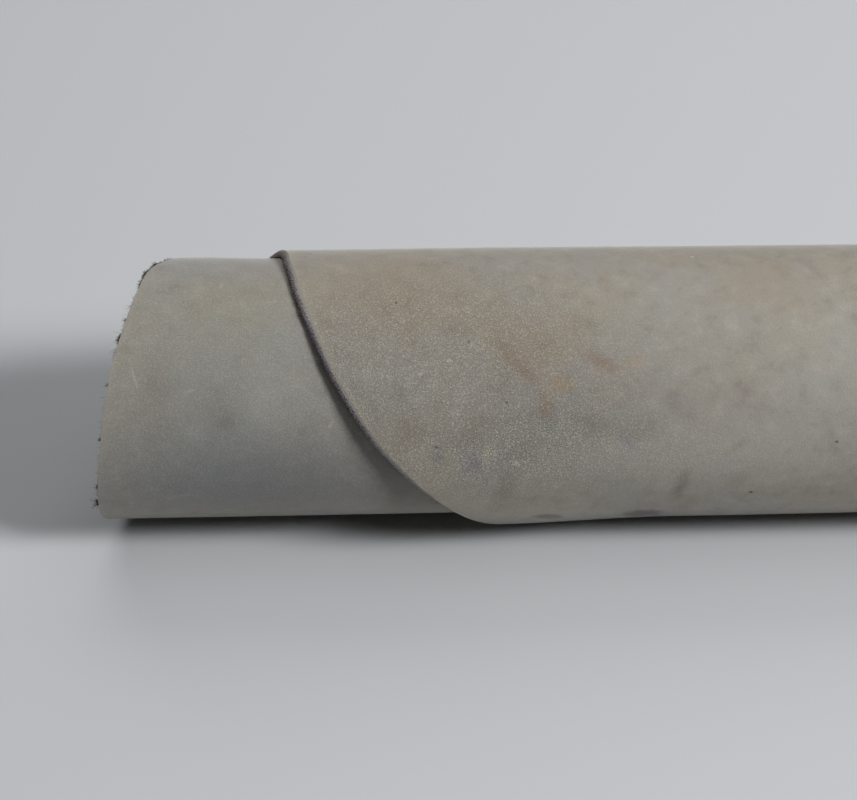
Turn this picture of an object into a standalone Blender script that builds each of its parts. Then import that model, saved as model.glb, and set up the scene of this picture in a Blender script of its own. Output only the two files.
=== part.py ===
# Roll of nubuck leather.
# One cut sheet is wound three times round a hollow core and lies on its side.
# The roll's axis runs along X and the floor is Z = 0. Lengths are in metres.
# A winding angle is in degrees: 0 is the top of the roll, 90 its front (-Y),
# 180 its underside and 270 its back, and each turn further out adds 360.

from math import cos, radians, sin

import bmesh
import bpy
from mathutils import Vector

# Size of the sheet and of the roll
LEATHER_THICKNESS = 0.0017
TURN_PITCH = 0.00215
OUTER_RADIUS = 0.0375
OUTER_RADIUS_ANGLE = 200.0
INNER_END_ANGLE = -855.0
OUTER_END_ANGLE = 225.0
RIGHT_END_X = 0.150
AXIS_Y = 0.00088

# The roll sits on a flat spot that reaches this far to each side of its bottom
FLAT_HALF_ANGLE = 7.5

# The free flap stands off the turn below it along its left edge,
# and the sheet's outer end springs up a little at the back
FLAP_LIFT = 0.0013
FLAP_LIFT_WIDTH = 0.045
END_LIFT = 0.0009

# Mesh steps: rows along the winding, columns from end to end of the roll
ROW_ANGLE = 3.75
COLUMNS = 12
COLUMN_CROWDING = 1.8

LEATHER_COLOUR = (0.262, 0.238, 0.205, 1.0)
LEATHER_ROUGHNESS = 0.95

# Left edge of the cut sheet, as winding angle in degrees and X in millimetres.
# The inner turns end a little inside the roll, the turn that shows at the
# left end reaches furthest out, and the flap's edge runs down in a slant.
LEFT_EDGE = (
    # angle, x_mm
    (-855.0, -124.0),
    (-640.0, -125.5),
    (-540.0, -121.5),
    (-430.0, -124.5),
    (-396.0, -129.6),
    (-375.0, -135.6),
    (-350.0, -139.4),
    (-320.0, -144.4),
    (-285.0, -148.3),
    (-245.0, -149.98),
    (-222.0, -149.0),
    (-150.0, -134.0),
    (-38.0, -100.6),
    (-11.0, -99.4),
    (17.0, -96.1),
    (52.0, -87.6),
    (74.0, -79.2),
    (102.0, -65.2),
    (139.0, -47.6),
    (172.0, -26.5),
    (205.0, 0.0),
    (225.0, 40.0),
)


def smoothStep(low, high, value):
    # Rises from 0 at low to 1 at high without a corner
    t = min(max((value - low) / (high - low), 0.0), 1.0)
    return t * t * (3.0 - 2.0 * t)


def edgeSlope(index):
    # Slope of the left edge at one row of its table, from the rows beside it
    before = max(index - 1, 0)
    after = min(index + 1, len(LEFT_EDGE) - 1)
    angleBefore, xBefore = LEFT_EDGE[before]
    angleHere, xHere = LEFT_EDGE[index]
    angleAfter, xAfter = LEFT_EDGE[after]
    if before == index or after == index:
        return (xAfter - xBefore) / (angleAfter - angleBefore)
    spanBefore = angleHere - angleBefore
    spanAfter = angleAfter - angleHere
    riseBefore = (xHere - xBefore) / spanBefore
    riseAfter = (xAfter - xHere) / spanAfter
    total = spanBefore + spanAfter
    return (riseBefore * spanAfter + riseAfter * spanBefore) / total


def leftEdgeX(angle):
    # X of the sheet's left edge at a winding angle, on a smooth curve
    index = 0
    while index < len(LEFT_EDGE) - 2 and LEFT_EDGE[index + 1][0] < angle:
        index += 1
    angleA, xA = LEFT_EDGE[index]
    angleB, xB = LEFT_EDGE[index + 1]
    span = angleB - angleA
    t = (angle - angleA) / span
    x = (2.0 * t**3 - 3.0 * t**2 + 1.0) * xA
    x += (t**3 - 2.0 * t**2 + t) * edgeSlope(index) * span
    x += (3.0 * t**2 - 2.0 * t**3) * xB
    x += (t**3 - t**2) * edgeSlope(index + 1) * span
    return x * 0.001


def radiusAt(angle):
    # Radius of the grain side, which grows by one pitch in each turn
    turns = (angle - OUTER_RADIUS_ANGLE) / 360.0
    return OUTER_RADIUS + TURN_PITCH * turns


def liftAt(angle, x):
    # How far the outer turn stands off the turn below it
    rising = smoothStep(50.0, 130.0, angle) - smoothStep(150.0, 175.0, angle)
    inward = 1.0 - smoothStep(0.0, FLAP_LIFT_WIDTH, x - leftEdgeX(angle))
    lift = FLAP_LIFT * rising * inward
    lift += END_LIFT * smoothStep(198.0, OUTER_END_ANGLE, angle)
    return lift


def rolledPoint(angle, x):
    # Place of a point of the grain side, with the flat spot pressed in
    axisZ = radiusAt(180.0 - FLAT_HALF_ANGLE) * cos(radians(FLAT_HALF_ANGLE))
    radius = radiusAt(angle) + liftAt(angle, x)
    y = AXIS_Y - radius * sin(radians(angle))
    z = axisZ + radius * cos(radians(angle))
    turnsIn = round((180.0 - angle) / 360.0)
    return Vector((x, y, max(z, turnsIn * TURN_PITCH)))


def makeMaterial(name, colour, roughness):
    material = bpy.data.materials.new(name)
    material.use_nodes = True
    shader = material.node_tree.nodes["Principled BSDF"]
    shader.inputs["Base Color"].default_value = colour
    shader.inputs["Roughness"].default_value = roughness
    shader.inputs["Metallic"].default_value = 0.0
    return material


def makeRoll(collection):
    # Rolls up a flat grid to the cut's outline, then gives it its thickness
    rows = round((OUTER_END_ANGLE - INNER_END_ANGLE) / ROW_ANGLE)
    sheet = bmesh.new()
    bmesh.ops.create_grid(sheet, x_segments=COLUMNS, y_segments=rows, size=0.5)
    for vert in sheet.verts:
        row = round((vert.co.y + 0.5) * rows)
        across = min(max(vert.co.x + 0.5, 0.0), 1.0) ** COLUMN_CROWDING
        angle = INNER_END_ANGLE + row * ROW_ANGLE
        left = leftEdgeX(angle)
        vert.co = rolledPoint(angle, left + (RIGHT_END_X - left) * across)
    bmesh.ops.reverse_faces(sheet, faces=sheet.faces)

    mesh = bpy.data.meshes.new("nubuck_leather_roll")
    sheet.to_mesh(mesh)
    sheet.free()
    mesh.shade_smooth()

    roll = bpy.data.objects.new("nubuck_leather_roll", mesh)
    collection.objects.link(roll)
    mesh.materials.append(
        makeMaterial("nubuck leather, taupe", LEATHER_COLOUR, LEATHER_ROUGHNESS)
    )
    thickness = roll.modifiers.new("leather thickness", "SOLIDIFY")
    thickness.thickness = LEATHER_THICKNESS
    thickness.offset = -1.0
    return roll


for old in list(bpy.data.objects):
    bpy.data.objects.remove(old, do_unlink=True)

rollParts = bpy.data.collections.new("nubuck leather roll")
bpy.context.scene.collection.children.link(rollParts)
makeRoll(rollParts)
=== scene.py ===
# Roll of nubuck leather, dressed for looks.
# The sheet is made flat first, as a slab with its buffed grain side, its suede
# back and its cut rim, and is then wound up: three turns, lying on their side.
# Lengths are in metres. A winding angle is in degrees: 0 is the top of the
# roll, 90 its front, 180 its underside, and each turn further out adds 360.

import math
import random

import bmesh
import bpy
from mathutils import Matrix, Vector, noise


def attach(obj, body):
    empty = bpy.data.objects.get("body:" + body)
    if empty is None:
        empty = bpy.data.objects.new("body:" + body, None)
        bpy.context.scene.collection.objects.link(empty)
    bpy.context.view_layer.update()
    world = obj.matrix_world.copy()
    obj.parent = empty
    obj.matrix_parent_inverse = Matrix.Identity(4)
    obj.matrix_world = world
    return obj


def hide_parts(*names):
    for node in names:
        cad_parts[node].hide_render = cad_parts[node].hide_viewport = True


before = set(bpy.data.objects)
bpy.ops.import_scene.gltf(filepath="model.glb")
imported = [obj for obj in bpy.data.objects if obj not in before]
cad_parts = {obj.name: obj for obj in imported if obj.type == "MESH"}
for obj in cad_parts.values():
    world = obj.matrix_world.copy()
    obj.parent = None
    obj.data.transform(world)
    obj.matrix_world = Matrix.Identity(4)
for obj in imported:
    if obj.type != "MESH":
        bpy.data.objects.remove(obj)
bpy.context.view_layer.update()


# The wound sheet

rollShape = {
    "thickness": 0.0017,        # leather
    "turnPitch": 0.00215,       # from one turn to the next
    "outerRadius": 0.0375,      # of the grain side, at the angle below
    "outerRadiusAngle": 200.0,
    "rightEndX": 0.150,
    "flatWidth": 0.300,         # from the right end to the furthest point of the left edge
    "axisY": 0.00088,
    "flatHalfAngle": 7.5,       # the small flat spot that it lies on
    "flapLift": 0.0019,         # the free flap stands off the turn below
    "flapLiftWidth": 0.045,
    "endLift": 0.0009,          # and so does the sheet's outer end
    "endLiftAngles": (198.0, 225.0),
    "endFlare": 0.00042,        # of the left end, most at the angle below
    "flareAngle": -38.0,
    "flareReach": (0.106, 0.124),   # grows between these distances left of the middle
    "unevenness": 0.00013,      # soft, and the same on every turn
    "unevennessSize": 0.045,
    "edgeWobble": 0.00016,      # hand-cut edge
    "rightSkive": 0.0001,       # the back reaches this far past the grain at the right end
    "endSkive": 0.00015,        # and this far at the sheet's two ends
    "columns": 88,
    "crowding": 1.32,           # columns stand closer towards the left edge
}

rowSteps = [
    # from angle, to angle, step in degrees
    (-855.0, -405.0, 6.0),
    (-405.0, -195.0, 2.0),
    (-195.0, -60.0, 3.0),
    (-60.0, 225.0, 1.25),
]

leftEdge = [
    # winding angle, X in millimetres
    (-855.0, -119.0),
    (-780.0, -118.5),
    (-640.0, -125.0),
    (-540.0, -121.5),
    (-430.0, -120.5),
    (-404.0, -123.6),
    (-393.0, -127.5),
    (-383.5, -131.5),
    (-371.5, -135.5),
    (-350.0, -139.3),
    (-320.0, -144.4),
    (-285.0, -148.3),
    (-245.0, -149.98),
    (-222.0, -149.0),
    (-150.0, -134.0),
    (-38.0, -101.9),
    (-27.0, -100.4),
    (-11.0, -99.4),
    (17.0, -96.1),
    (52.0, -87.6),
    (74.0, -78.9),
    (102.0, -63.8),
    (139.0, -44.0),
    (172.0, -22.0),
    (205.0, 0.0),
    (225.0, 40.0),
]

flapRise = [
    # from angle, to angle, share of the flap's lift that comes or goes
    (10.0, 80.0, 1.00),         # quick to rise down the front
    (95.0, 135.0, -0.32),       # lower at the foot
    (150.0, 175.0, -0.68),      # flat under the roll
]

knifeWaves = [
    # wave length, share of the wobble, row of the noise
    (0.0035, 1.0, 3.7),
    (0.014, 1.5, 9.1),
]

skiving = [
    # winding angle, how far the back reaches past the grain, in millimetres
    (-855.0, 0.10),
    (-440.0, 0.00),
    (-200.0, 0.00),
    (-110.0, 0.25),
    (-50.0, 1.05),
    (15.0, 2.00),
    (95.0, 1.60),
    (140.0, 0.60),
    (225.0, 0.20),
]

rimProfile = [
    # share of the thickness, share of the skiving, roughness in millimetres
    (0.05, 0.10, 0.00),
    (0.20, 0.44, 0.04),
    (0.42, 0.70, 0.08),
    (0.72, 0.90, 0.09),
    (1.00, 1.00, 0.05),
]


def smoothStep(low, high, value):
    t = min(max((value - low) / (high - low), 0.0), 1.0)
    return t * t * (3.0 - 2.0 * t)


def alongTable(table, angle):
    # straight lines between the rows of a table
    for (angleA, valueA), (angleB, valueB) in zip(table, table[1:]):
        if angle <= angleB:
            t = (angle - angleA) / (angleB - angleA)
            return valueA + (valueB - valueA) * max(t, 0.0)
    return table[-1][1]


def edgeSlope(index):
    # slope of the left edge at one row of its table, from the rows beside it
    before = max(index - 1, 0)
    after = min(index + 1, len(leftEdge) - 1)
    angleBefore, xBefore = leftEdge[before]
    angleHere, xHere = leftEdge[index]
    angleAfter, xAfter = leftEdge[after]
    if before == index or after == index:
        return (xAfter - xBefore) / (angleAfter - angleBefore)
    spanBefore = angleHere - angleBefore
    spanAfter = angleAfter - angleHere
    riseBefore = (xHere - xBefore) / spanBefore
    riseAfter = (xAfter - xHere) / spanAfter
    return (riseBefore * spanAfter + riseAfter * spanBefore) / (spanBefore + spanAfter)


def leftEdgeX(angle):
    # smooth curve through the rows of the left edge
    index = 0
    while index < len(leftEdge) - 2 and leftEdge[index + 1][0] < angle:
        index += 1
    angleA, xA = leftEdge[index]
    angleB, xB = leftEdge[index + 1]
    span = angleB - angleA
    t = (angle - angleA) / span
    x = (2.0 * t**3 - 3.0 * t**2 + 1.0) * xA
    x += (t**3 - 2.0 * t**2 + t) * edgeSlope(index) * span
    x += (3.0 * t**2 - 2.0 * t**3) * xB
    x += (t**3 - t**2) * edgeSlope(index + 1) * span
    return x * 0.001


def radiusAt(angle):
    turns = (angle - rollShape["outerRadiusAngle"]) / 360.0
    return rollShape["outerRadius"] + rollShape["turnPitch"] * turns


def lengthAt(angle):
    # length of leather from the top of the turn that holds angle 0
    turn = math.radians(angle)
    return turn * radiusAt(0.0) + rollShape["turnPitch"] * turn**2 / (4.0 * math.pi)


def angleAt(length):
    growth = rollShape["turnPitch"] / (2.0 * math.pi)
    root = math.sqrt(radiusAt(0.0) ** 2 + 2.0 * growth * length)
    return math.degrees((root - radiusAt(0.0)) / growth)


def liftAt(angle, x):
    # how far the sheet stands out from its plain spiral
    top = max(math.cos(math.radians(angle - rollShape["flareAngle"])), 0.0)
    lift = rollShape["endFlare"] * top**2 * smoothStep(*rollShape["flareReach"], -x)
    if angle > flapRise[0][0]:
        rising = sum(share * smoothStep(low, high, angle) for low, high, share in flapRise)
        inward = 1.0 - smoothStep(0.0, rollShape["flapLiftWidth"], x - leftEdgeX(angle))
        lift += rollShape["flapLift"] * rising * inward
        lift += rollShape["endLift"] * smoothStep(*rollShape["endLiftAngles"], angle)
    return lift


def windUp(x, length, depth):
    # takes a point of the flat slab to its place in the roll
    angle = angleAt(length)
    turn = math.radians(angle)
    ring = rollShape["outerRadius"]
    place = Vector((x, ring * math.sin(turn), ring * math.cos(turn)))
    wave = noise.noise(place / rollShape["unevennessSize"])
    radius = radiusAt(angle) + liftAt(angle, x) - depth
    radius += wave * rollShape["unevenness"]
    half = rollShape["flatHalfAngle"]
    axisZ = radiusAt(180.0 - half) * math.cos(math.radians(half))
    y = rollShape["axisY"] - radius * math.sin(turn)
    z = axisZ + radius * math.cos(turn)
    floorZ = round((180.0 - angle) / 360.0) * rollShape["turnPitch"] + max(depth, 0.0)
    return Vector((x, y, max(z, floorZ)))


def edgeNormal(angle):
    # outwards from the left edge, in the flat sheet: across, and along
    step = 0.5
    rise = leftEdgeX(angle + step) - leftEdgeX(angle - step)
    rise /= lengthAt(angle + step) - lengthAt(angle - step)
    return Vector((-1.0, rise)).normalized()


def handCutX(angle):
    # the left edge with the small waves that a knife leaves
    wobble = sum(share * noise.noise(Vector((lengthAt(angle) / size, row, 0.0)))
                 for size, share, row in knifeWaves)
    return leftEdgeX(angle) + wobble * rollShape["edgeWobble"]


def rowAngles():
    angles = []
    for fromAngle, toAngle, step in rowSteps:
        count = round((toAngle - fromAngle) / step)
        angles += [fromAngle + step * i for i in range(count)]
    return angles + [rowSteps[-1][1]]


def makePiece(name, shape):
    # puts a finished bmesh into the scene
    mesh = bpy.data.meshes.new(name)
    shape.to_mesh(mesh)
    shape.free()
    piece = bpy.data.objects.new(name, mesh)
    bpy.context.scene.collection.objects.link(piece)
    return piece


def layGrainSide(sheet, angles, lengths, lefts):
    # A flat grid, cut to the outline. Each vertex of the outline has a key, and
    # under it are kept its place and how far the back reaches past it there.
    rows = len(angles) - 1
    columns = rollShape["columns"]
    fromEdge = sheet.verts.layers.float["fromEdge"]
    rimKey = sheet.verts.layers.int["rimKey"]
    bmesh.ops.create_grid(sheet, x_segments=columns, y_segments=rows, size=0.5)
    outline = {}
    for vert in sheet.verts:
        row = round((vert.co.y + 0.5) * rows)
        column = round((vert.co.x + 0.5) * columns)
        left = lefts[row]
        across = (column / columns) ** rollShape["crowding"]
        vert.co = (left + (rollShape["rightEndX"] - left) * across, lengths[row], 0.0)
        vert[fromEdge] = (vert.co.x - left) * 1000.0
        push = Vector((0.0, 0.0))
        if column == 0:
            push += edgeNormal(angles[row]) * alongTable(skiving, angles[row]) * 0.001
        if column == columns:
            push += Vector((rollShape["rightSkive"], 0.0))
        if row in (0, rows):
            push += Vector((0.0, rollShape["endSkive"] if row else -rollShape["endSkive"]))
        if column in (0, columns) or row in (0, rows):
            vert[rimKey] = row * 1000 + column + 1
            outline[vert[rimKey]] = (vert.co.copy(), push)
    return outline


def addBack(sheet, outline):
    # the suede back is a copy of the grain side, a thickness lower
    depthShare = sheet.verts.layers.float["depthShare"]
    rimKey = sheet.verts.layers.int["rimKey"]
    everything = sheet.verts[:] + sheet.edges[:] + sheet.faces[:]
    back = bmesh.ops.duplicate(sheet, geom=everything)["geom"]
    backRim = []
    for vert in [g for g in back if isinstance(g, bmesh.types.BMVert)]:
        vert[depthShare] = 1.0
        vert.co.z = -rollShape["thickness"]
        if vert[rimKey]:
            vert.co.xy += outline[vert[rimKey]][1]
            backRim.append(vert)
    backFaces = [g for g in back if isinstance(g, bmesh.types.BMFace)]
    for face in backFaces:
        face.material_index = 1
    bmesh.ops.reverse_faces(sheet, faces=backFaces)
    return backRim


def growRim(sheet, edges, outline):
    # the cut rim grows down from the grain side's outline to the back's
    depthShare = sheet.verts.layers.float["depthShare"]
    rimKey = sheet.verts.layers.int["rimKey"]
    shaker = random.Random(41)
    for depth, reach, rough in rimProfile:
        made = bmesh.ops.extrude_edge_only(sheet, edges=edges)["geom"]
        newVerts = [g for g in made if isinstance(g, bmesh.types.BMVert)]
        for face in [g for g in made if isinstance(g, bmesh.types.BMFace)]:
            face.material_index = 2
        for vert in newVerts:
            base, push = outline[vert[rimKey]]
            shake = shaker.uniform(-1.0, 1.0) * rough * 0.001 if depth < 1.0 else 0.0
            out = push * reach
            if push.length > 0.0:
                out += push.normalized() * shake
            vert.co = base + Vector((out.x, out.y, -rollShape["thickness"] * depth))
            vert[depthShare] = depth
        lowest = set(newVerts)
        edges = [
            e for e in sheet.edges
            if e.is_boundary and e.verts[0] in lowest and e.verts[1] in lowest
        ]
    return newVerts


def faceOrder(face):
    # a number of the face's own, from its corners: first the lowest, then their sum
    corners = [v.index for v in face.verts]
    return min(corners) * 1.0e7 + sum(corners)


def makeSheet():
    angles = rowAngles()
    lengths = [lengthAt(a) for a in angles]
    lefts = [handCutX(a) for a in angles]
    sheet = bmesh.new()
    plan = sheet.loops.layers.uv.new("cutPlan")
    sheet.verts.layers.float.new("depthShare")
    sheet.verts.layers.float.new("fromEdge")
    sheet.verts.layers.int.new("rimKey")

    outline = layGrainSide(sheet, angles, lengths, lefts)
    grainEdges = [e for e in sheet.edges if e.is_boundary]
    for edge in grainEdges:
        edge.smooth = False     # a knife cut, so the grain keeps its own shading up to it
    print("grain side:", len(sheet.faces), "faces")
    backRim = addBack(sheet, outline)
    lowestRim = growRim(sheet, grainEdges, outline)
    bmesh.ops.remove_doubles(sheet, verts=backRim + lowestRim, dist=0.000001)
    bmesh.ops.recalc_face_normals(sheet, faces=sheet.faces)
    sheet.verts.index_update()
    sheet.faces.sort(key=faceOrder)     # the rim's faces come in no fixed order
    for face in sheet.faces:
        face.smooth = True
        for loop in face.loops:
            loop[plan].uv = loop.vert.co.xy
    print("slab:", len(sheet.faces), "faces, open edges:",
          sum(1 for e in sheet.edges if not e.is_manifold))

    for vert in sheet.verts:
        vert.co = windUp(vert.co.x, vert.co.y, -vert.co.z)
    bmesh.ops.reverse_faces(sheet, faces=sheet.faces)  # winding turned it inside out
    piece = makePiece("nubuckSheet", sheet)
    piece.data.attributes.remove(piece.data.attributes["rimKey"])

    area = 0.0
    for lengthA, lengthB, leftA, leftB in zip(lengths, lengths[1:], lefts, lefts[1:]):
        area += (lengthB - lengthA) * (rollShape["rightEndX"] - (leftA + leftB) / 2.0)
    return piece, lengths[-1] - lengths[0], area


# Loose fibres along the cut

fibreSizes = {
    "shortMm": (0.2, 0.8),
    "longMm": (0.9, 1.7),
    "longShare": 0.07,
    "radius": 0.000045,
    "clumpSize": 0.004,     # they stand closer together in clumps
    "seed": 23,
}

fibreStretches = [
    # winding angle from, to, strands
    (-855.0, -430.0, 600),
    (-430.0, -372.0, 90),
    (-372.0, -318.0, 560),
    (-318.0, -215.0, 260),
    (-215.0, -45.0, 600),
    (-45.0, -25.0, 60),
    (-25.0, 150.0, 1600),
    (150.0, 225.0, 400),
]

fibreTufts = [
    # winding angle, to each side in degrees, strands, longest in millimetres
    (-383.0, 5.0, 300, 0.8),    # fuzzy top corner of the left end
    (-375.0, 6.5, 620, 1.0),
    (-366.0, 6.0, 560, 1.0),
    (-358.5, 3.5, 160, 0.9),
    (-337.0, 0.7, 26, 0.9),     # single tufts down the left end
    (-328.5, 2.1, 150, 1.0),
    (-322.5, 0.6, 22, 0.8),
    (-308.5, 0.9, 26, 1.1),
    (-285.0, 0.6, 80, 0.9),
    (-260.0, 0.8, 44, 0.9),
    (-248.5, 2.1, 130, 1.5),
    (15.0, 2.0, 60, 1.2),       # down the flap
    (20.5, 1.2, 60, 1.4),
    (31.0, 1.0, 34, 1.0),
    (46.0, 1.5, 40, 1.1),
    (61.0, 1.0, 34, 0.9),
    (72.0, 1.5, 60, 1.1),
]


def fibreRoots():
    # Each strand has an angle, a length in millimetres, a tone, and whether it is
    # raised towards the grain side. Scattered ones come first, then the tufts' own.
    picker = random.Random(fibreSizes["seed"])
    strands = []
    for fromAngle, toAngle, count in fibreStretches:
        for strand in range(count):
            angle = picker.uniform(fromAngle, toAngle)
            clump = noise.noise(Vector((lengthAt(angle) / fibreSizes["clumpSize"], 17.3, 0.0)))
            if clump < picker.uniform(-0.55, 0.35):
                continue
            lengths = fibreSizes["shortMm"]
            if picker.random() < fibreSizes["longShare"] + 0.12 * max(clump, 0.0):
                lengths = fibreSizes["longMm"]
            strands.append((angle, picker.uniform(*lengths), picker.random(), False))
    for middle, spread, count, longest in fibreTufts:
        atLeftEnd = middle < 0.0    # where the tufts are raised, and none is grey
        for strand in range(count):
            angle = middle + spread * picker.uniform(-1.0, 1.0)
            long = longest * picker.uniform(0.3, 1.0) * (1.2 - abs(angle - middle) / spread)
            tone = picker.random() * (0.55 if atLeftEnd else 1.0)
            strands.append((angle, max(long, 0.2), tone, atLeftEnd))

    # where it starts in the flat slab, where it points and how it bends
    roots = []
    for angle, long, tone, raised in strands:
        out = edgeNormal(angle)
        level = picker.uniform(0.02, 0.5) if raised else picker.uniform(0.25, 1.0)
        reach = alongTable(skiving, angle) * 0.001 * level - 0.00012    # rooted just inside
        root = Vector((leftEdgeX(angle), lengthAt(angle), -rollShape["thickness"] * level))
        root.xy += out * reach
        aim = Vector((out.x, out.y, picker.uniform(-0.5, 0.7) + 0.4 * raised))
        aim += Vector((-out.y, out.x, 0.0)) * picker.uniform(-1.1, 1.1)
        roots.append({
            "root": root,
            "aim": aim.normalized(),
            "curl": Vector([picker.uniform(-0.5, 0.5) for axis in range(3)]),
            "long": long * 0.001,
            "radius": fibreSizes["radius"] * picker.uniform(0.7, 1.4) * (1.0 + 0.4 * raised),
            "tone": tone,
        })
    return roots


def makeFibres():
    roots = fibreRoots()
    fibres = bmesh.new()
    tone = fibres.verts.layers.float.new("fibreTone")
    number = fibres.verts.layers.int.new("strandNumber")
    # one three-sided strand stands along Z, from 0 to 1
    made = bmesh.ops.create_circle(fibres, cap_ends=True, segments=3, radius=1.0)
    tip = list(dict.fromkeys(e for v in made["verts"] for e in v.link_edges))
    for height in (0.35, 0.7, 1.0):
        grown = bmesh.ops.extrude_edge_only(fibres, edges=tip)["geom"]
        top = {g for g in grown if isinstance(g, bmesh.types.BMVert)}
        for vert in top:
            vert.co = (vert.co.x * 0.72, vert.co.y * 0.72, height)
        tip = [g for g in grown if isinstance(g, bmesh.types.BMEdge)
               and g.verts[0] in top and g.verts[1] in top]
    bmesh.ops.edgeloop_fill(fibres, edges=tip)
    bmesh.ops.recalc_face_normals(fibres, faces=fibres.faces)

    # the strands double until there are enough of them, then each goes to its root
    count = 1
    while count < len(roots):
        everything = fibres.verts[:] + fibres.edges[:] + fibres.faces[:]
        copied = bmesh.ops.duplicate(fibres, geom=everything)["geom"]
        for vert in [g for g in copied if isinstance(g, bmesh.types.BMVert)]:
            vert[number] += count
        count *= 2
    spare = [v for v in fibres.verts if v[number] >= len(roots)]
    bmesh.ops.delete(fibres, geom=spare, context="VERTS")
    for strand in roots:
        strand["turn"] = strand["aim"].to_track_quat("Z", "Y").to_matrix()
    for vert in fibres.verts:
        strand = roots[vert[number]]
        along = vert.co.z
        place = strand["root"] + (strand["aim"] + strand["curl"] * along) * along * strand["long"]
        place += strand["turn"] @ Vector((vert.co.x, vert.co.y, 0.0)) * strand["radius"]
        vert.co = windUp(place.x, place.y, -place.z)
        vert[tone] = strand["tone"]
    bmesh.ops.reverse_faces(fibres, faces=fibres.faces)  # as for the sheet
    piece = makePiece("cutFibres", fibres)
    piece.data.attributes.remove(piece.data.attributes["strandNumber"])
    piece.data.shade_smooth()
    return piece


# Finishes


def linearColour(hexColour):
    values = [int(hexColour[i:i + 2], 16) / 255.0 for i in (1, 3, 5)]
    return [v / 12.92 if v <= 0.04045 else ((v + 0.055) / 1.055) ** 2.4
            for v in values] + [1.0]


def addNode(tree, kind, settings=None, links=None):
    # a setting is an input's name or number, or else a property of the node
    node = tree.nodes.new(kind)
    for name, value in (settings or {}).items():
        if isinstance(name, int) or name in node.inputs:
            node.inputs[name].default_value = value
        else:
            setattr(node, name, value)
    for name, source in (links or {}).items():
        tree.links.new(source, node.inputs[name])
    return node


def newFinish(name):
    finish = bpy.data.materials.new(name)
    finish.use_nodes = True
    return finish, finish.node_tree, finish.node_tree.nodes["Principled BSDF"]


def planInMm(tree):
    # place on the flat sheet, in millimetres: across, and along
    plan = addNode(tree, "ShaderNodeUVMap", {"uv_map": "cutPlan"})
    scaled = addNode(tree, "ShaderNodeVectorMath", {"operation": "SCALE", "Scale": 1000.0},
                     {0: plan.outputs["UV"]})
    return scaled.outputs["Vector"]


def awayFromSpot(tree, mm, angle, x, wide, high, turn):
    # distance from a spot of the sheet: 1 is its half width, or its half height
    place = addNode(tree, "ShaderNodeMapping",
                    {"vector_type": "TEXTURE",
                     "Location": (x, lengthAt(angle) * 1000.0, 0.0),
                     "Rotation": (0.0, 0.0, math.radians(turn)),
                     "Scale": (wide, high, 1.0)}, {"Vector": mm})
    away = addNode(tree, "ShaderNodeVectorMath", {"operation": "LENGTH"},
                   {0: place.outputs["Vector"]})
    return away.outputs["Value"]


nubuckLook = {
    "base": "#908a7f",
    "cool": "#8e8b84",
    "deep": "#7d766b",
    "pale": "#a09b91",
    "cloudMm": 30.0,            # sizes of the mottling
    "patchMm": 5.5,
    "raggedMm": 2.6,            # of the stains' outlines
    "pebbleMm": 0.66,           # buffed grain, one pebble
    "napMm": 0.34,              # coarser than the real nap, so that it shows
    "poreMm": 2.9,              # from one pore to the next
    "edgeBandMm": (0.3, 2.2),   # paler along the cut, where handling lifts the nap
    "edgeBandShare": 0.18,
    "leastGrain": 0.26,         # share of the pebble that shows even where the nap hides it
    "bumpMm": 0.06,
    "bumpStrength": 0.6,
    "roughness": 0.92,
    "specular": 0.25,
    "sheen": 0.60,
    "sheenRoughness": 0.32,
    "sheenTint": "#f2efe9",
}

nubuckTints = {
    "tan": "#8f826f",
    "khaki": "#8d8672",
    "rust": "#7c6049",
    "orange": "#a98a5c",
    "brown": "#6b5f54",
    "umber": "#57493f",
    "olive": "#6c6755",
    "slate": "#72757c",
    "mauve": "#776a6b",
    "cream": "#aba28e",
    "bloom": "#a6a39b",
    "greige": "#838683",
    # painted highlight, for a pale sheen
    "paintedHighlightGrey": "#929292",
    # painted shade
    "paintedShadeGrey": "#6e7175",
    "ink": "#3a332d",
    "chalk": "#cfc9bd",
}

sharpGrain = [
    # where the pebble shows best: winding angle, X mm, half width mm, half height mm, share
    (54.0, -66.0, 56.0, 38.0, 0.92),
    (84.0, -24.0, 44.0, 13.0, 0.50),
    (-300.0, -115.0, 60.0, 60.0, 0.34),
]

washes = [
    # broad and soft: winding angle, X mm, half width mm, half height mm, turn, tint, strength
    (14.0, -74.0, 34.0, 22.0, 0.0, "tan", 0.42),
    (38.0, -40.0, 13.0, 11.0, 20.0, "tan", 0.40),
    (10.0, 22.0, 17.0, 11.0, 20.0, "tan", 0.45),
    (48.0, 42.0, 24.0, 19.0, 0.0, "bloom", 0.22),
    (100.0, -60.0, 12.0, 22.0, -38.0, "cream", 0.34),
    (78.0, -24.0, 42.0, 6.5, 6.0, "olive", 0.08),
    (92.0, -52.0, 14.0, 9.0, 0.0, "slate", 0.16),
    (66.0, -1.0, 20.0, 10.0, 0.0, "slate", 0.10),
    (85.0, -14.0, 66.0, 13.0, 0.0, "bloom", 0.50),
    (-305.0, -118.0, 34.0, 36.0, 0.0, "greige", 0.55),
    (-20.0, 20.0, 100.0, 13.0, 0.0, "brown", 0.09),
    # painted shade: darker along the underside of the outer turn
    (134.0, -8.0, 62.0, 9.0, 0.0, "paintedShadeGrey", 0.60),
    # painted shade: darker low on the turn that shows at the left
    (-260.0, -105.0, 50.0, 23.0, 0.0, "paintedShadeGrey", 0.64),
    # painted highlight: pale, cool sheen near the top of the turn that shows at the left
    (-384.0, -118.0, 44.0, 15.0, 0.0, "paintedHighlightGrey", 0.60),
    (-344.0, -116.0, 17.0, 12.0, 0.0, "khaki", 0.34),
    (-302.0, -134.0, 5.5, 15.0, 8.0, "brown", 0.16),
    (-297.0, -119.0, 7.0, 9.0, -15.0, "brown", 0.14),
    (-300.0, -105.0, 9.0, 12.0, 0.0, "bloom", 0.20),
]

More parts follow.
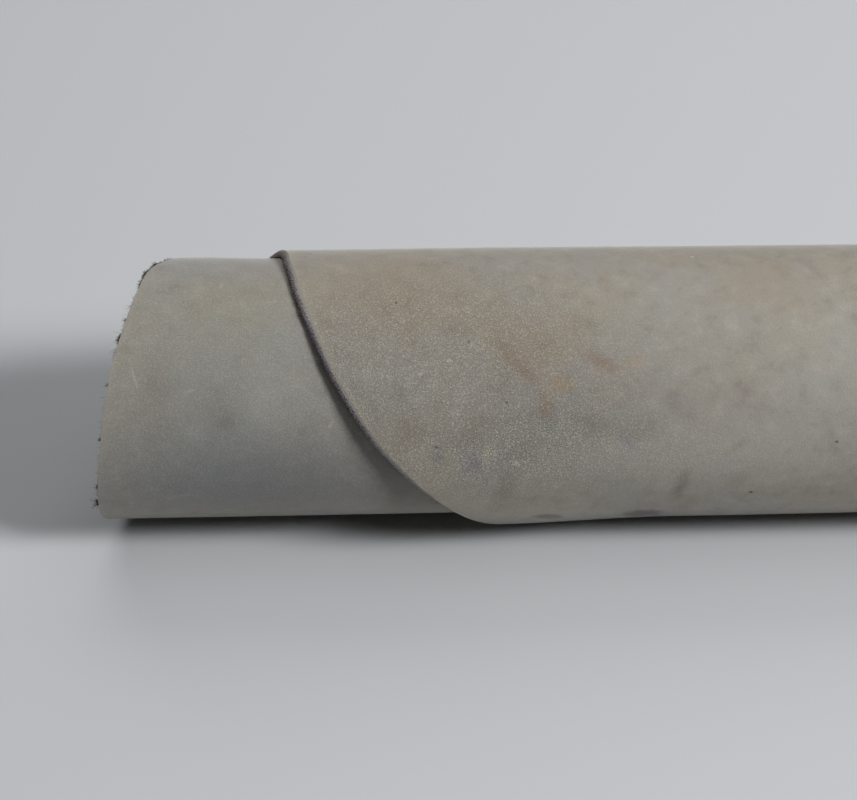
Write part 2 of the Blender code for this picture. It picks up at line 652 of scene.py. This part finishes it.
rubs = [
    # stains and scuffs: winding angle, X mm, half width mm, half height mm, turn, tint, strength
    (46.5, -42.0, 5.6, 1.9, 49.0, "rust", 0.44),      # rust-brown drag marks
    (54.0, -31.5, 4.6, 2.4, 0.0, "orange", 0.28),
    (60.0, -35.2, 1.6, 3.6, 0.0, "orange", 0.20),
    (64.5, -35.5, 3.2, 2.6, 0.0, "rust", 0.24),
    (45.5, -21.0, 4.8, 2.0, 37.0, "rust", 0.44),
    (46.0, -12.5, 3.4, 1.6, 20.0, "orange", 0.22),
    (53.0, -9.0, 3.2, 1.5, 40.0, "rust", 0.16),
    (28.0, -28.0, 2.8, 3.4, 0.0, "rust", 0.18),
    (6.0, -18.5, 1.8, 4.0, 10.0, "rust", 0.20),
    (-4.0, 27.0, 8.0, 2.0, 55.0, "rust", 0.22),
    (0.0, 37.0, 5.5, 1.6, 60.0, "mauve", 0.30),
    (18.0, 9.0, 8.0, 2.2, 0.0, "rust", 0.12),
    (70.0, -70.5, 3.8, 5.4, 0.0, "brown", 0.32),      # grey-brown mottles
    (73.0, -55.0, 6.5, 4.2, -30.0, "brown", 0.24),
    (81.0, -40.5, 4.4, 3.4, 30.0, "olive", 0.30),
    (69.0, -24.0, 6.8, 3.6, 25.0, "brown", 0.23),
    (73.0, -12.0, 6.5, 3.6, 10.0, "olive", 0.26),
    (57.0, 7.5, 1.8, 3.2, 0.0, "brown", 0.22),
    (57.0, 15.5, 2.9, 2.1, 20.0, "mauve", 0.48),
    (98.0, 16.0, 2.8, 3.2, 0.0, "brown", 0.24),
    (75.0, 38.5, 4.6, 1.2, 70.0, "olive", 0.26),
    (80.5, 14.5, 4.4, 1.0, -40.0, "brown", 0.20),
    (81.0, -63.0, 2.2, 3.0, 0.0, "slate", 0.44),      # cool grey touches
    (85.0, -54.0, 2.8, 3.8, 0.0, "slate", 0.42),
    (83.5, -45.2, 2.4, 2.4, 0.0, "slate", 0.25),
    (63.0, -2.5, 2.8, 3.6, 0.0, "mauve", 0.26),
    (77.5, -14.5, 3.2, 1.2, 45.0, "slate", 0.34),
    (82.0, -50.5, 1.9, 2.6, 0.0, "cream", 0.50),
    (102.0, -45.5, 2.8, 8.0, 8.0, "brown", 0.36),     # dark smudges towards the underside
    (102.0, 1.2, 2.0, 6.2, 8.0, "umber", 0.46),
    (114.0, 4.5, 3.2, 5.4, 20.0, "brown", 0.26),
    (-291.5, -116.0, 3.0, 2.4, 0.0, "brown", 0.26),   # one on the turn that shows at the left
]

marks = [
    # small and sharp: winding angle, X mm, half width mm, half height mm, turn, tint, strength
    (127.5, -6.4, 5.8, 4.4, 0.0, "ink", 0.84),        # two smudges just above the underside
    (124.5, -32.0, 4.6, 2.3, 22.0, "ink", 0.66),
    (106.5, 20.2, 0.62, 0.60, 0.0, "ink", 0.80),      # dark specks
    (79.5, 40.4, 0.52, 0.42, 0.0, "ink", 0.65),
    (18.2, -72.9, 0.42, 0.36, 0.0, "ink", 0.65),
    (36.2, -54.9, 0.40, 0.36, 0.0, "ink", 0.65),
    (60.6, -45.6, 0.40, 0.36, 0.0, "ink", 0.65),
    (77.8, -63.4, 0.50, 0.40, 0.0, "ink", 0.50),
    (49.0, -67.6, 0.65, 0.50, 0.0, "chalk", 0.34),    # pale specks and scratches
    (43.8, -60.0, 0.70, 0.50, 0.0, "chalk", 0.36),
    (46.8, -59.4, 0.50, 0.40, 0.0, "chalk", 0.24),
    (86.5, -42.8, 1.10, 0.80, 40.0, "chalk", 0.35),
    (-10.5, 6.5, 0.60, 0.50, 0.0, "chalk", 0.40),
    (-311.0, -139.2, 0.35, 3.20, -18.0, "chalk", 0.15),
    (-305.5, -125.8, 1.70, 0.40, -15.0, "chalk", 0.14),
    (-290.5, -90.0, 0.50, 1.60, 30.0, "chalk", 0.10),
    (-356.0, -117.5, 0.35, 1.50, 10.0, "chalk", 0.14),
]

spotKinds = [
    # table, how ragged the outline is, distance at which the tint starts, and is full
    (washes, 0.9, 1.25, 0.1),
    (rubs, 2.0, 1.55, -0.1),
    (marks, 0.8, 1.25, 0.5),
]


def nubuckGrain():
    # Nubuck: grain side buffed to a short velvety nap. No gloss at all, a pale
    # bloom where it is seen edge on, a fine pebble and cloudy handling marks. A few
    # washes are painted: shade low on the turns, and a highlight near the top of the inner one.
    look = nubuckLook
    finish, tree, shader = newFinish("buffed nubuck grain")
    mm = planInMm(tree)
    cloud = addNode(tree, "ShaderNodeTexNoise",
                    {"Scale": 1.0 / look["cloudMm"], "Detail": 3.0, "Roughness": 0.55},
                    {"Vector": mm})
    patch = addNode(tree, "ShaderNodeTexNoise",
                    {"Scale": 1.0 / look["patchMm"], "Detail": 5.0, "Roughness": 0.62},
                    {"Vector": mm})
    ragged = addNode(tree, "ShaderNodeTexNoise",
                     {"Scale": 1.0 / look["raggedMm"], "Detail": 5.0, "Roughness": 0.7},
                     {"Vector": mm})
    pebble = addNode(tree, "ShaderNodeTexVoronoi",
                     {"Scale": 1.0 / look["pebbleMm"], "Detail": 1.0, "Roughness": 0.5},
                     {"Vector": mm})
    nap = addNode(tree, "ShaderNodeTexNoise",
                  {"Scale": 1.0 / look["napMm"], "Detail": 1.0, "Roughness": 0.6},
                  {"Vector": mm})
    pore = addNode(tree, "ShaderNodeTexVoronoi", {"Scale": 1.0 / look["poreMm"]},
                   {"Vector": mm})

    # cool and warm clouds, then darker and paler patches
    cloudShare = addNode(tree, "ShaderNodeMapRange", {1: 0.38, 2: 0.62},
                         {"Value": cloud.outputs["Fac"]})
    colour = addNode(tree, "ShaderNodeMix",
                     {"data_type": "RGBA", 6: linearColour(look["cool"]),
                      7: linearColour(look["base"])},
                     {0: cloudShare.outputs["Result"]})
    darkShare = addNode(tree, "ShaderNodeMapRange", {1: 0.53, 2: 0.74, 4: 0.70},
                        {"Value": patch.outputs["Fac"]})
    colour = addNode(tree, "ShaderNodeMix", {"data_type": "RGBA", 7: linearColour(look["deep"])},
                     {0: darkShare.outputs["Result"], 6: colour.outputs[2]})
    paleShare = addNode(tree, "ShaderNodeMapRange", {1: 0.47, 2: 0.26, 4: 0.65},
                        {"Value": patch.outputs["Fac"]})
    colour = addNode(tree, "ShaderNodeMix", {"data_type": "RGBA", 7: linearColour(look["pale"])},
                     {0: paleShare.outputs["Result"], 6: colour.outputs[2]})

    # each wash, rub and mark is an ellipse with a ragged outline
    for table, rag, soft, solid in spotKinds:
        for angle, x, wide, high, turn, tint, strength in table:
            away = awayFromSpot(tree, mm, angle, x, wide, high, turn)
            rough = addNode(tree, "ShaderNodeMath", {"operation": "MULTIPLY_ADD", 1: rag},
                            {0: ragged.outputs["Fac"], 2: away})
            share = addNode(tree, "ShaderNodeMapRange",
                            {"interpolation_type": "SMOOTHSTEP", 1: soft + rag * 0.5,
                             2: solid + rag * 0.5, 3: 0.0, 4: strength},
                            {"Value": rough.outputs["Value"]})
            colour = addNode(tree, "ShaderNodeMix",
                             {"data_type": "RGBA", 7: linearColour(nubuckTints[tint])},
                             {0: share.outputs["Result"], 6: colour.outputs[2]})

    # a paler band along the cut edge
    fromEdge = addNode(tree, "ShaderNodeAttribute", {"attribute_name": "fromEdge"})
    near, far = look["edgeBandMm"]
    bandShare = addNode(tree, "ShaderNodeMapRange",
                        {1: near, 2: far, 3: look["edgeBandShare"], 4: 0.0},
                        {"Value": fromEdge.outputs["Fac"]})
    colour = addNode(tree, "ShaderNodeMix", {"data_type": "RGBA", 7: linearColour(look["pale"])},
                     {0: bandShare.outputs["Result"], 6: colour.outputs[2]})

    # pebble, nap and pores darken the hollows, most where the grain is best kept
    pebbles = addNode(tree, "ShaderNodeMapRange", {1: 0.10, 2: 0.70, 3: 0.27, 4: -0.20},
                      {"Value": pebble.outputs["Distance"]})
    fuzz = addNode(tree, "ShaderNodeMapRange", {1: 0.3, 2: 0.7, 3: -0.20, 4: 0.20},
                   {"Value": nap.outputs["Fac"]})
    dots = addNode(tree, "ShaderNodeMapRange", {1: 0.04, 2: 0.10, 3: -0.20, 4: 0.0},
                   {"Value": pore.outputs["Distance"]})
    grain = addNode(tree, "ShaderNodeMath", {"operation": "ADD"},
                    {0: pebbles.outputs["Result"], 1: fuzz.outputs["Result"]})
    grain = addNode(tree, "ShaderNodeMath", {"operation": "ADD"},
                    {0: grain.outputs["Value"], 1: dots.outputs["Result"]})
    # starts at the least share, and each row of sharpGrain adds its own
    keen = addNode(tree, "ShaderNodeMath", {"operation": "ADD", 0: look["leastGrain"], 1: 0.0})
    for angle, x, wide, high, share in sharpGrain:
        more = addNode(tree, "ShaderNodeMapRange",
                       {"interpolation_type": "SMOOTHSTEP", 1: 1.35, 2: 0.45, 3: 0.0, 4: share},
                       {"Value": awayFromSpot(tree, mm, angle, x, wide, high, 0.0)})
        keen = addNode(tree, "ShaderNodeMath", {"operation": "ADD"},
                       {0: keen.outputs["Value"], 1: more.outputs["Result"]})
    grain = addNode(tree, "ShaderNodeMath", {"operation": "MULTIPLY_ADD", 2: 1.0},
                    {0: grain.outputs["Value"], 1: keen.outputs["Value"]})
    shade = addNode(tree, "ShaderNodeVectorMath", {"operation": "SCALE"},
                    {0: colour.outputs[2], "Scale": grain.outputs["Value"]})
    relief = addNode(tree, "ShaderNodeMath", {"operation": "MULTIPLY_ADD", 1: -0.9},
                     {0: pebble.outputs["Distance"], 2: nap.outputs["Fac"]})
    bump = addNode(tree, "ShaderNodeBump",
                   {"Strength": look["bumpStrength"], "Distance": look["bumpMm"] * 0.001},
                   {"Height": relief.outputs["Value"]})
    tree.links.new(shade.outputs["Vector"], shader.inputs["Base Color"])
    tree.links.new(bump.outputs["Normal"], shader.inputs["Normal"])
    shader.inputs["Roughness"].default_value = look["roughness"]
    shader.inputs["Specular IOR Level"].default_value = look["specular"]
    shader.inputs["Sheen Weight"].default_value = look["sheen"]
    shader.inputs["Sheen Roughness"].default_value = look["sheenRoughness"]
    shader.inputs["Sheen Tint"].default_value = linearColour(look["sheenTint"])
    return finish


suedeLook = {
    "brown": "#7c6f63",
    "dusty": "#958a7e",
    "clumpMm": 2.2,
    "napMm": 0.5,               # coarser than the real nap, so that it shows
    "bumpMm": 0.18,
    "bumpStrength": 0.8,
    "roughness": 0.97,
    "specular": 0.15,
    "sheen": 0.3,
    "sheenRoughness": 0.6,
}


def suedeBack():
    # Flesh side: split and sanded to a longer, loose suede nap, darker and
    # browner than the grain side, with small clumps of fibre.
    look = suedeLook
    finish, tree, shader = newFinish("suede flesh side")
    mm = planInMm(tree)
    clump = addNode(tree, "ShaderNodeTexNoise",
                    {"Scale": 1.0 / look["clumpMm"], "Detail": 4.0, "Roughness": 0.7,
                     "Distortion": 0.6}, {"Vector": mm})
    nap = addNode(tree, "ShaderNodeTexNoise",
                  {"Scale": 1.0 / look["napMm"], "Detail": 2.0, "Roughness": 0.7},
                  {"Vector": mm})
    share = addNode(tree, "ShaderNodeMapRange", {1: 0.35, 2: 0.65},
                    {"Value": clump.outputs["Fac"]})
    colour = addNode(tree, "ShaderNodeMix",
                     {"data_type": "RGBA", 6: linearColour(look["brown"]),
                      7: linearColour(look["dusty"])},
                     {0: share.outputs["Result"]})
    fuzz = addNode(tree, "ShaderNodeMapRange", {1: 0.3, 2: 0.7, 3: 0.82, 4: 1.15},
                   {"Value": nap.outputs["Fac"]})
    shade = addNode(tree, "ShaderNodeVectorMath", {"operation": "SCALE"},
                    {0: colour.outputs[2], "Scale": fuzz.outputs["Result"]})
    relief = addNode(tree, "ShaderNodeMath", {"operation": "MULTIPLY_ADD", 1: 0.6},
                     {0: clump.outputs["Fac"], 2: nap.outputs["Fac"]})
    bump = addNode(tree, "ShaderNodeBump",
                   {"Strength": look["bumpStrength"], "Distance": look["bumpMm"] * 0.001},
                   {"Height": relief.outputs["Value"]})
    tree.links.new(shade.outputs["Vector"], shader.inputs["Base Color"])
    tree.links.new(bump.outputs["Normal"], shader.inputs["Normal"])
    shader.inputs["Roughness"].default_value = look["roughness"]
    shader.inputs["Specular IOR Level"].default_value = look["specular"]
    shader.inputs["Sheen Weight"].default_value = look["sheen"]
    shader.inputs["Sheen Roughness"].default_value = look["sheenRoughness"]
    return finish


cutLook = {
    "grainLine": "#a29a8b",
    "core": "#8e898d",
    "lower": "#6b6465",
    "shadow": "#2b2728",
    "fleck": "#bbb5b7",
    "leftEnd": "#9f9680",
    "leftEndAngles": (-50.0, -10.0),    # the cut is paler before the flap starts
    "leftEndX": (0.05, 0.10),           # and only near the left edge
    "leftEndShare": 0.8,
    "fibreMm": 0.34,                    # coarser than the real fibre, so that it shows
    "lumpMm": 1.1,
    "bumpMm": 0.16,
    "bumpStrength": 0.9,
    "roughness": 0.95,
    "specular": 0.2,
}


def rawCut():
    # Knife-cut edge left raw: a thin pale line of grain, the mauve-grey dyed
    # core below it, and towards the back dark loose fibre with pale ends.
    look = cutLook
    finish, tree, shader = newFinish("raw cut leather edge")
    place = addNode(tree, "ShaderNodeTexCoord")
    plan = addNode(tree, "ShaderNodeUVMap", {"uv_map": "cutPlan"})
    planXY = addNode(tree, "ShaderNodeSeparateXYZ", None, {0: plan.outputs["UV"]})
    depth = addNode(tree, "ShaderNodeAttribute", {"attribute_name": "depthShare"})
    fibre = addNode(tree, "ShaderNodeTexNoise",
                    {"Scale": 1000.0 / look["fibreMm"], "Detail": 2.0, "Roughness": 0.7},
                    {"Vector": place.outputs["Object"]})
    lump = addNode(tree, "ShaderNodeTexNoise",
                   {"Scale": 1000.0 / look["lumpMm"], "Detail": 3.0, "Roughness": 0.6},
                   {"Vector": place.outputs["Object"]})

    # the core turns dark towards the back, along a ragged line
    ragged = addNode(tree, "ShaderNodeMath", {"operation": "MULTIPLY_ADD", 1: 0.7},
                     {0: lump.outputs["Fac"], 2: depth.outputs["Fac"]})
    lowerShare = addNode(tree, "ShaderNodeMapRange", {1: 0.82, 2: 1.06},
                         {"Value": ragged.outputs["Value"]})
    colour = addNode(tree, "ShaderNodeMix",
                     {"data_type": "RGBA", 6: linearColour(look["core"]),
                      7: linearColour(look["lower"])},
                     {0: lowerShare.outputs["Result"]})
    darkShare = addNode(tree, "ShaderNodeMapRange", {1: 0.53, 2: 0.62, 4: 0.80},
                        {"Value": fibre.outputs["Fac"]})
    colour = addNode(tree, "ShaderNodeMix", {"data_type": "RGBA", 7: linearColour(look["shadow"])},
                     {0: darkShare.outputs["Result"], 6: colour.outputs[2]})
    fleckShare = addNode(tree, "ShaderNodeMapRange", {1: 0.46, 2: 0.38, 4: 0.85},
                         {"Value": fibre.outputs["Fac"]})
    colour = addNode(tree, "ShaderNodeMix", {"data_type": "RGBA", 7: linearColour(look["fleck"])},
                     {0: fleckShare.outputs["Result"], 6: colour.outputs[2]})

    # paler at the left end, and a thin line of grain on top
    paleTo, paleFrom = [lengthAt(a) for a in look["leftEndAngles"]]
    nearX, farX = look["leftEndX"]
    nearLeft = addNode(tree, "ShaderNodeMapRange", {1: farX, 2: nearX, 4: look["leftEndShare"]},
                       {"Value": planXY.outputs["X"]})
    innerTurns = addNode(tree, "ShaderNodeMapRange", {1: paleFrom, 2: paleTo},
                         {"Value": planXY.outputs["Y"]})
    endShare = addNode(tree, "ShaderNodeMath", {"operation": "MULTIPLY"},
                       {0: nearLeft.outputs["Result"], 1: innerTurns.outputs["Result"]})
    colour = addNode(tree, "ShaderNodeMix", {"data_type": "RGBA", 7: linearColour(look["leftEnd"])},
                     {0: endShare.outputs["Value"], 6: colour.outputs[2]})
    lineShare = addNode(tree, "ShaderNodeMapRange", {1: 0.20, 2: 0.02},
                        {"Value": depth.outputs["Fac"]})
    colour = addNode(tree, "ShaderNodeMix",
                     {"data_type": "RGBA", 7: linearColour(look["grainLine"])},
                     {0: lineShare.outputs["Result"], 6: colour.outputs[2]})
    bump = addNode(tree, "ShaderNodeBump",
                   {"Strength": look["bumpStrength"], "Distance": look["bumpMm"] * 0.001},
                   {"Height": fibre.outputs["Fac"]})
    tree.links.new(colour.outputs[2], shader.inputs["Base Color"])
    tree.links.new(bump.outputs["Normal"], shader.inputs["Normal"])
    shader.inputs["Roughness"].default_value = look["roughness"]
    shader.inputs["Specular IOR Level"].default_value = look["specular"]
    return finish


fibreLook = {
    "dark": "#2b2320",
    "rust": "#5a4238",
    "grey": "#8d878a",
    "roughness": 0.8,
}


def looseFibre():
    # Collagen fibres pulled out by the knife: most are dyed dark, some rusty, some grey.
    look = fibreLook
    finish, tree, shader = newFinish("loose leather fibre")
    tone = addNode(tree, "ShaderNodeAttribute", {"attribute_name": "fibreTone"})
    rusty = addNode(tree, "ShaderNodeMapRange", {1: 0.35, 2: 0.55}, {"Value": tone.outputs["Fac"]})
    colour = addNode(tree, "ShaderNodeMix",
                     {"data_type": "RGBA", 6: linearColour(look["dark"]),
                      7: linearColour(look["rust"])},
                     {0: rusty.outputs["Result"]})
    greyed = addNode(tree, "ShaderNodeMapRange", {1: 0.62, 2: 0.80}, {"Value": tone.outputs["Fac"]})
    colour = addNode(tree, "ShaderNodeMix", {"data_type": "RGBA", 7: linearColour(look["grey"])},
                     {0: greyed.outputs["Result"], 6: colour.outputs[2]})
    tree.links.new(colour.outputs[2], shader.inputs["Base Color"])
    shader.inputs["Roughness"].default_value = look["roughness"]
    return finish


print("making the sheet")
nubuckSheet, sheetLength, sheetArea = makeSheet()
for finish in (nubuckGrain(), suedeBack(), rawCut()):
    nubuckSheet.data.materials.append(finish)
print("making the loose fibres")
cutFibres = makeFibres()
cutFibres.data.materials.append(looseFibre())
print("sheet", len(nubuckSheet.data.polygons), "faces, fibres", len(cutFibres.data.polygons), "faces")

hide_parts("nubuck_leather_roll")
for piece in (nubuckSheet, cutFibres):
    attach(piece, "root")
print("sheet cut from", round(sheetLength, 3), "m of leather,", round(sheetArea, 4), "square metres")


# Floor, light and camera

studio = {
    "floor": "#b6b8bb",
    "floorSize": 12.0,
    "floorRoughness": 0.9,
    "worldColour": "#eef1f6",
    "worldStrength": 0.03,
    "lightAim": (-0.03, 0.0, 0.03),     # the roll's near part
}

softLights = [
    # name, place, size, power in watts
    ("mainLight", (1.41, -0.93, 1.44), (0.6, 0.6), 52.0),   # from the right and a little in front
    ("backLight", (0.00, 0.75, 0.95), (1.4, 0.8), 5.6),     # makes the pale rim along the top
    ("topLight", (0.00, -0.05, 1.20), (1.4, 1.0), 3.6),
]

photoCamera = {
    "focalPx": 2200.0,
    "widthPx": 857.0,
    "sensorMm": 36.0,
    "clipStart": 0.02,
    "target": (-0.0624, 0.00088, 0.03106),
    "azimuth": -5.54,
    "elevation": 38.0,
    "roll": 2.539,
    "distance": 0.59652,
}

print("setting up the studio")
floorShape = bmesh.new()
bmesh.ops.create_grid(floorShape, x_segments=1, y_segments=1, size=studio["floorSize"] / 2.0)
studioFloor = makePiece("studioFloor", floorShape)
floorFinish, floorTree, floorShader = newFinish("matt paper floor")  # plain studio paper
floorShader.inputs["Base Color"].default_value = linearColour(studio["floor"])
floorShader.inputs["Roughness"].default_value = studio["floorRoughness"]
studioFloor.data.materials.append(floorFinish)

for name, place, size, power in softLights:
    lampData = bpy.data.lights.new(name, "AREA")
    lampData.shape = "RECTANGLE"
    lampData.size, lampData.size_y = size
    lampData.energy = power
    lamp = bpy.data.objects.new(name, lampData)
    lamp.location = place
    aim = Vector(studio["lightAim"]) - lamp.location
    lamp.rotation_euler = aim.to_track_quat("-Z", "Y").to_euler()
    bpy.context.scene.collection.objects.link(lamp)

world = bpy.data.worlds.new("studio")
world.use_nodes = True
background = world.node_tree.nodes["Background"]
background.inputs["Color"].default_value = linearColour(studio["worldColour"])
background.inputs["Strength"].default_value = studio["worldStrength"]
bpy.context.scene.world = world

turnTo = math.radians(photoCamera["azimuth"])
lookDown = math.radians(photoCamera["elevation"])
tilt = math.radians(photoCamera["roll"])
backwards = Vector((math.sin(turnTo) * math.cos(lookDown),
                    -math.cos(turnTo) * math.cos(lookDown), math.sin(lookDown)))
level = Vector((math.cos(turnTo), math.sin(turnTo), 0.0))
upright = backwards.cross(level)
right = math.cos(tilt) * level + math.sin(tilt) * upright
up = math.cos(tilt) * upright - math.sin(tilt) * level
cameraData = bpy.data.cameras.new("photoCamera")
cameraData.sensor_width = photoCamera["sensorMm"]
cameraData.lens = photoCamera["sensorMm"] * photoCamera["focalPx"] / photoCamera["widthPx"]
cameraData.clip_start = photoCamera["clipStart"]
camera = bpy.data.objects.new("photoCamera", cameraData)
place = Vector(photoCamera["target"]) + backwards * photoCamera["distance"]
facing = Matrix((right, up, backwards)).transposed().to_4x4()
camera.matrix_world = Matrix.Translation(place) @ facing
bpy.context.scene.collection.objects.link(camera)
bpy.context.scene.camera = camera
bpy.context.scene.view_settings.view_transform = "Standard"
